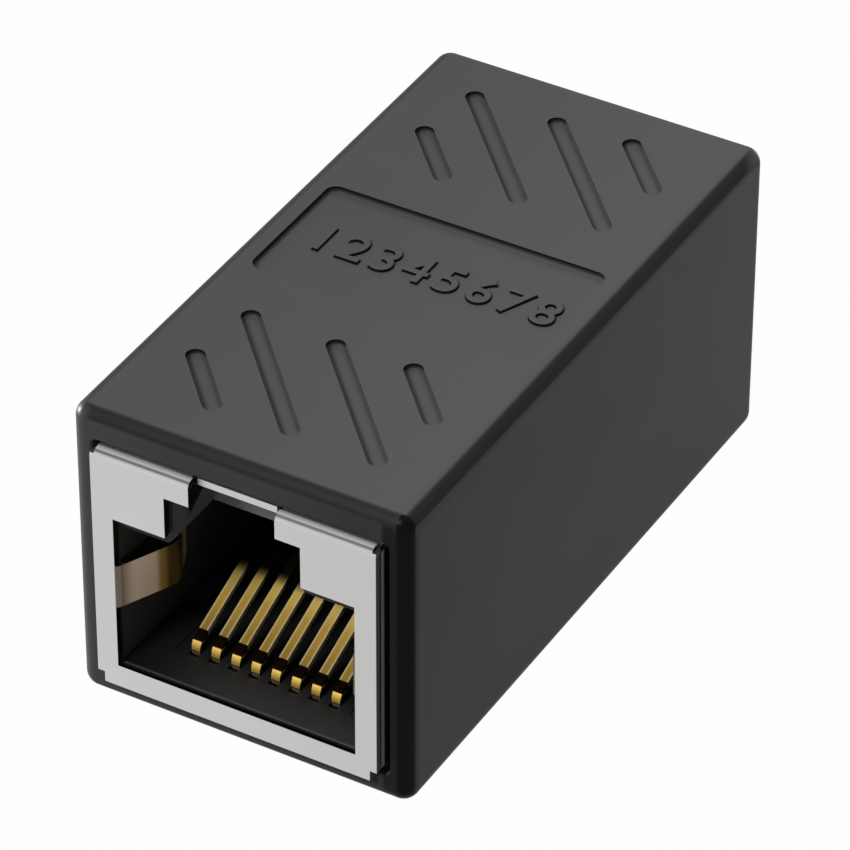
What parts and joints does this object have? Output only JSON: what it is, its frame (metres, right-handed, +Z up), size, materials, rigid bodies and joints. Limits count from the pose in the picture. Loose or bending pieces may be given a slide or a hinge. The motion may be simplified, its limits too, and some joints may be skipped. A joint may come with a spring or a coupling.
{
  "type": "shielded modular jack inline coupler",
  "caption": "Small box-shaped inline coupler with a shielded modular data jack at each end, joined straight through.",
  "frame": {"origin": "middle of the case's underside, which is the lowest level of the part", "axes": "+Y along the length, from one port to the other; +Z up through the grooved top; +X across the width"},
  "size_m": [0.0168, 0.0334, 0.0155],
  "materials": {
    "case": "fine satin, moulded",
    "housing": "matt, moulded",
    "carrier": "matt, moulded",
    "shield": "tin plated sheet",
    "contacts": "gold plated, smooth",
    "board": "solder resist"
  },
  "bodies": {
    "root": {"case_sleeve": "case", "circuit_board": "board", "front_shield": "shield", "front_jack_housing": "housing", "front_contact_carrier": "carrier", "front_contact_1": "contacts", "front_contact_2": "contacts", "front_contact_3": "contacts", "front_contact_4": "contacts", "front_contact_5": "contacts", "front_contact_6": "contacts", "front_contact_7": "contacts", "front_contact_8": "contacts", "rear_shield": "shield", "rear_jack_housing": "housing", "rear_contact_carrier": "carrier", "rear_contact_1": "contacts", "rear_contact_2": "contacts", "rear_contact_3": "contacts", "rear_contact_4": "contacts", "rear_contact_5": "contacts", "rear_contact_6": "contacts", "rear_contact_7": "contacts", "rear_contact_8": "contacts"}
  },
  "joints": []
}
